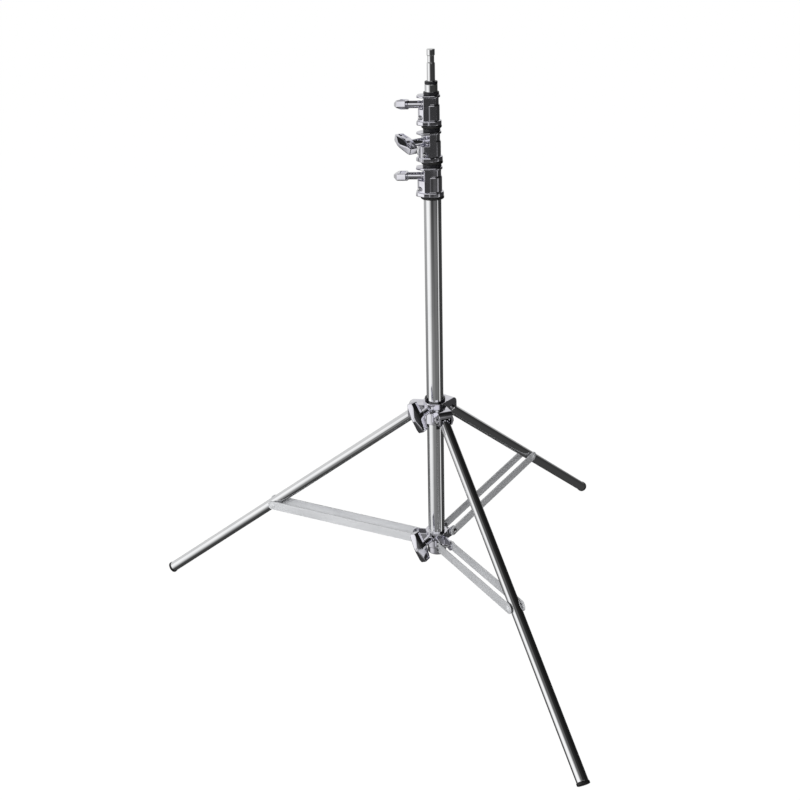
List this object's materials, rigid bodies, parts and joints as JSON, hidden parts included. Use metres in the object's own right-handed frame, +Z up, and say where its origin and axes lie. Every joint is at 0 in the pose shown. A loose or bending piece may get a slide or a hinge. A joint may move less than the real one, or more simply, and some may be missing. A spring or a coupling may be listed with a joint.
{
  "type": "lighting stand",
  "caption": "Telescoping steel lighting stand with a folding three-leg base on flat double braces, split clamp collars with T-levers and a 16 mm baby pin on top.",
  "frame": {"origin": "mast axis at the floor", "axes": "+Z up the mast; the front leg points along -Y, the left and rear legs lie 120 degrees to each side of it"},
  "size_m": [1.0942, 0.9508, 1.2207],
  "materials": {
    "chrome_tube": "polished chrome plate on steel tube",
    "chromed_casting": "bright plated casting, slightly soft reflections",
    "plated_steel": "plated flat strip, bolts and screws",
    "black_nylon": "moulded black nylon",
    "black_rubber": "moulded black rubber"
  },
  "bodies": {
    "brace_hub_body": {"brace_hub": "chromed_casting", "front_brace_bolt": "plated_steel", "left_brace_bolt": "plated_steel", "rear_brace_bolt": "plated_steel"},
    "brace_hub_clamp": {"brace_hub_lever": "chromed_casting", "brace_hub_screw": "plated_steel"},
    "column_foot": {"base_cup": "chromed_casting"},
    "column": {"base_tube": "chrome_tube", "lower_collar": "chromed_casting", "lower_bush": "black_nylon", "lower_ring": "black_rubber", "lower_collar_bolt": "plated_steel"},
    "lower_clamp": {"lower_lever": "chromed_casting", "lower_screw": "plated_steel"},
    "riser_1_foot": {"riser_1_plug": "black_nylon"},
    "riser_1": {"riser_1_tube": "chrome_tube", "middle_collar": "chromed_casting", "middle_bush": "black_nylon", "middle_ring": "black_rubber", "middle_collar_bolt": "plated_steel"},
    "middle_clamp": {"middle_lever": "chromed_casting", "middle_screw": "plated_steel"},
    "riser_2_foot": {"riser_2_plug": "black_nylon"},
    "riser_2": {"riser_2_tube": "chrome_tube", "upper_collar": "chromed_casting", "upper_bush": "black_nylon", "upper_ring": "black_rubber", "upper_collar_bolt": "plated_steel"},
    "upper_clamp": {"upper_lever": "chromed_casting", "upper_screw": "plated_steel"},
    "riser_3_foot": {"riser_3_plug": "black_nylon"},
    "riser_3": {"riser_3_tube": "chrome_tube", "pin_ring": "black_nylon", "baby_pin": "chrome_tube"},
    "leg_hub_body": {"leg_hub": "chromed_casting", "leg_hub_bush": "black_nylon", "front_leg_bolt": "plated_steel", "left_leg_bolt": "plated_steel", "rear_leg_bolt": "plated_steel"},
    "leg_hub_clamp": {"leg_hub_lever": "chromed_casting", "leg_hub_screw": "plated_steel"},
    "front_leg_body": {"front_leg": "chrome_tube", "front_foot": "black_rubber", "front_leg_pin": "plated_steel"},
    "front_braces": {"front_brace_a": "plated_steel", "front_brace_b": "plated_steel"},
    "left_leg_body": {"left_leg": "chrome_tube", "left_foot": "black_rubber", "left_leg_pin": "plated_steel"},
    "left_braces": {"left_brace_a": "plated_steel", "left_brace_b": "plated_steel"},
    "rear_leg_body": {"rear_leg": "chrome_tube", "rear_foot": "black_rubber", "rear_leg_pin": "plated_steel"},
    "rear_braces": {"rear_brace_a": "plated_steel", "rear_brace_b": "plated_steel"}
  },
  "joints": [
    {"name": "leg_hub_slide", "type": "slide", "parent": "brace_hub_body", "child": "leg_hub_body", "axis": [0, 0, 1], "range_m": [0, 0.43017]},
    {"name": "brace_hub_screw_turn", "type": "hinge", "parent": "brace_hub_body", "child": "brace_hub_clamp", "pos_m": [0, 0, 0.161], "axis": [-0.829, -0.5592, 0], "range_deg": [0, 360]},
    {"name": "leg_hub_screw_turn", "type": "hinge", "parent": "leg_hub_body", "child": "leg_hub_clamp", "pos_m": [0, 0, 0.46717], "axis": [-0.829, -0.5592, 0], "range_deg": [0, 360]},
    {"name": "front_leg_fold", "type": "hinge", "parent": "leg_hub_body", "child": "front_leg_body", "pos_m": [0, -0.042, 0.45117], "axis": [1, 0, 0], "range_deg": [0, 48.71]},
    {"name": "front_brace_fold", "type": "hinge", "parent": "brace_hub_body", "child": "front_braces", "pos_m": [0, -0.043, 0.153], "axis": [-1, 0, 0], "range_deg": [0, 75.88]},
    {"name": "left_leg_fold", "type": "hinge", "parent": "leg_hub_body", "child": "left_leg_body", "pos_m": [-0.03637, 0.021, 0.45117], "axis": [-0.5, -0.866, 0], "range_deg": [0, 48.71]},
    {"name": "left_brace_fold", "type": "hinge", "parent": "brace_hub_body", "child": "left_braces", "pos_m": [-0.03724, 0.0215, 0.153], "axis": [0.5, 0.866, 0], "range_deg": [0, 75.88]},
    {"name": "rear_leg_fold", "type": "hinge", "parent": "leg_hub_body", "child": "rear_leg_body", "pos_m": [0.03637, 0.021, 0.45117], "axis": [-0.5, 0.866, 0], "range_deg": [0, 48.71]},
    {"name": "rear_brace_fold", "type": "hinge", "parent": "brace_hub_body", "child": "rear_braces", "pos_m": [0.03724, 0.0215, 0.153], "axis": [0.5, -0.866, 0], "range_deg": [0, 75.88]},
    {"name": "column_slide", "type": "slide", "parent": "brace_hub_body", "child": "column_foot", "axis": [0, 0, 1], "range_m": [-0.118, 0]},
    {"name": "column_turn", "type": "hinge", "parent": "column_foot", "child": "column", "pos_m": [0, 0, 0.1221], "axis": [0, 0, 1], "continuous": true},
    {"name": "lower_screw_turn", "type": "hinge", "parent": "column", "child": "lower_clamp", "pos_m": [0, 0, 0.9684], "axis": [-0.891, 0.454, 0], "range_deg": [0, 360]},
    {"name": "riser_1_slide", "type": "slide", "parent": "column", "child": "riser_1_foot", "axis": [0, 0, 1], "range_m": [0, 0.72]},
    {"name": "riser_1_turn", "type": "hinge", "parent": "riser_1_foot", "child": "riser_1", "pos_m": [0, 0, 0.1222], "axis": [0, 0, 1], "continuous": true},
    {"name": "middle_screw_turn", "type": "hinge", "parent": "riser_1", "child": "middle_clamp", "pos_m": [0, 0, 1.0404], "axis": [-0.9945, -0.1045, 0], "range_deg": [0, 360]},
    {"name": "riser_2_slide", "type": "slide", "parent": "riser_1", "child": "riser_2_foot", "axis": [0, 0, 1], "range_m": [0, 0.7]},
    {"name": "riser_2_turn", "type": "hinge", "parent": "riser_2_foot", "child": "riser_2", "pos_m": [0, 0, 0.1406], "axis": [0, 0, 1], "continuous": true},
    {"name": "upper_screw_turn", "type": "hinge", "parent": "riser_2", "child": "upper_clamp", "pos_m": [0, 0, 1.1124], "axis": [-0.866, 0.5, 0], "range_deg": [0, 360]},
    {"name": "riser_3_slide", "type": "slide", "parent": "riser_2", "child": "riser_3_foot", "axis": [0, 0, 1], "range_m": [0, 0.69]},
    {"name": "riser_3_turn", "type": "hinge", "parent": "riser_3_foot", "child": "riser_3", "pos_m": [0, 0, 0.159], "axis": [0, 0, 1], "continuous": true}
  ],
  "couplings": [
    {"joint": "front_leg_fold", "follows": "leg_hub_slide", "rad_per_m": 1.9759},
    {"joint": "front_brace_fold", "follows": "leg_hub_slide", "rad_per_m": 3.0783},
    {"joint": "left_leg_fold", "follows": "leg_hub_slide", "rad_per_m": 1.9759},
    {"joint": "left_brace_fold", "follows": "leg_hub_slide", "rad_per_m": 3.0783},
    {"joint": "rear_leg_fold", "follows": "leg_hub_slide", "rad_per_m": 1.9759},
    {"joint": "rear_brace_fold", "follows": "leg_hub_slide", "rad_per_m": 3.0783}
  ]
}
